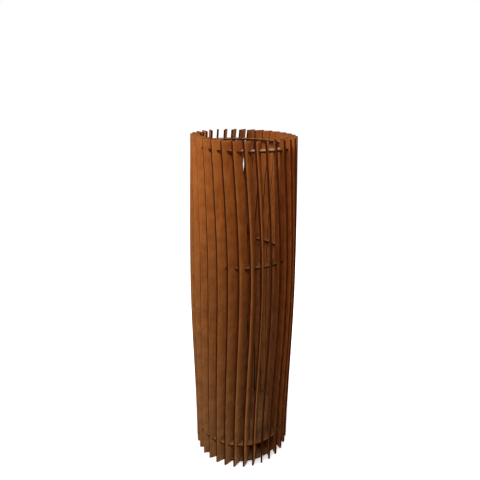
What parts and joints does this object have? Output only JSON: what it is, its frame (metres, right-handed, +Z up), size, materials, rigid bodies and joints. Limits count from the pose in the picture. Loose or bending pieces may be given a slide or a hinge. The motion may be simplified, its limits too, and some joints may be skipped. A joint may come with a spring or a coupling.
{
  "type": "slatted floor vase",
  "caption": "Tall open vase of upright wooden ribs set like a pinwheel and cross-halved into two foot discs and two rings.",
  "frame": {"origin": "on the vase's upright axis, at the level of the ribs' feet, where it stands on the floor", "axes": "+Z up along the vase's axis; +X and +Y are two level directions, and the ribs repeat every 11.25 degrees round +Z"},
  "size_m": [0.1708, 0.1708, 0.55],
  "materials": {
    "rib_board": "matte",
    "plate_board": "matte"
  },
  "bodies": {
    "root": {"bottom_disc": "plate_board", "floor_disc": "plate_board", "middle_ring": "plate_board", "top_ring": "plate_board", "rib_01": "rib_board", "rib_02": "rib_board", "rib_03": "rib_board", "rib_04": "rib_board", "rib_05": "rib_board", "rib_06": "rib_board", "rib_07": "rib_board", "rib_08": "rib_board", "rib_09": "rib_board", "rib_10": "rib_board", "rib_11": "rib_board", "rib_12": "rib_board", "rib_13": "rib_board", "rib_14": "rib_board", "rib_15": "rib_board", "rib_16": "rib_board", "rib_17": "rib_board", "rib_18": "rib_board", "rib_19": "rib_board", "rib_20": "rib_board", "rib_21": "rib_board", "rib_22": "rib_board", "rib_23": "rib_board", "rib_24": "rib_board", "rib_25": "rib_board", "rib_26": "rib_board", "rib_27": "rib_board", "rib_28": "rib_board", "rib_29": "rib_board", "rib_30": "rib_board", "rib_31": "rib_board", "rib_32": "rib_board"}
  },
  "joints": []
}
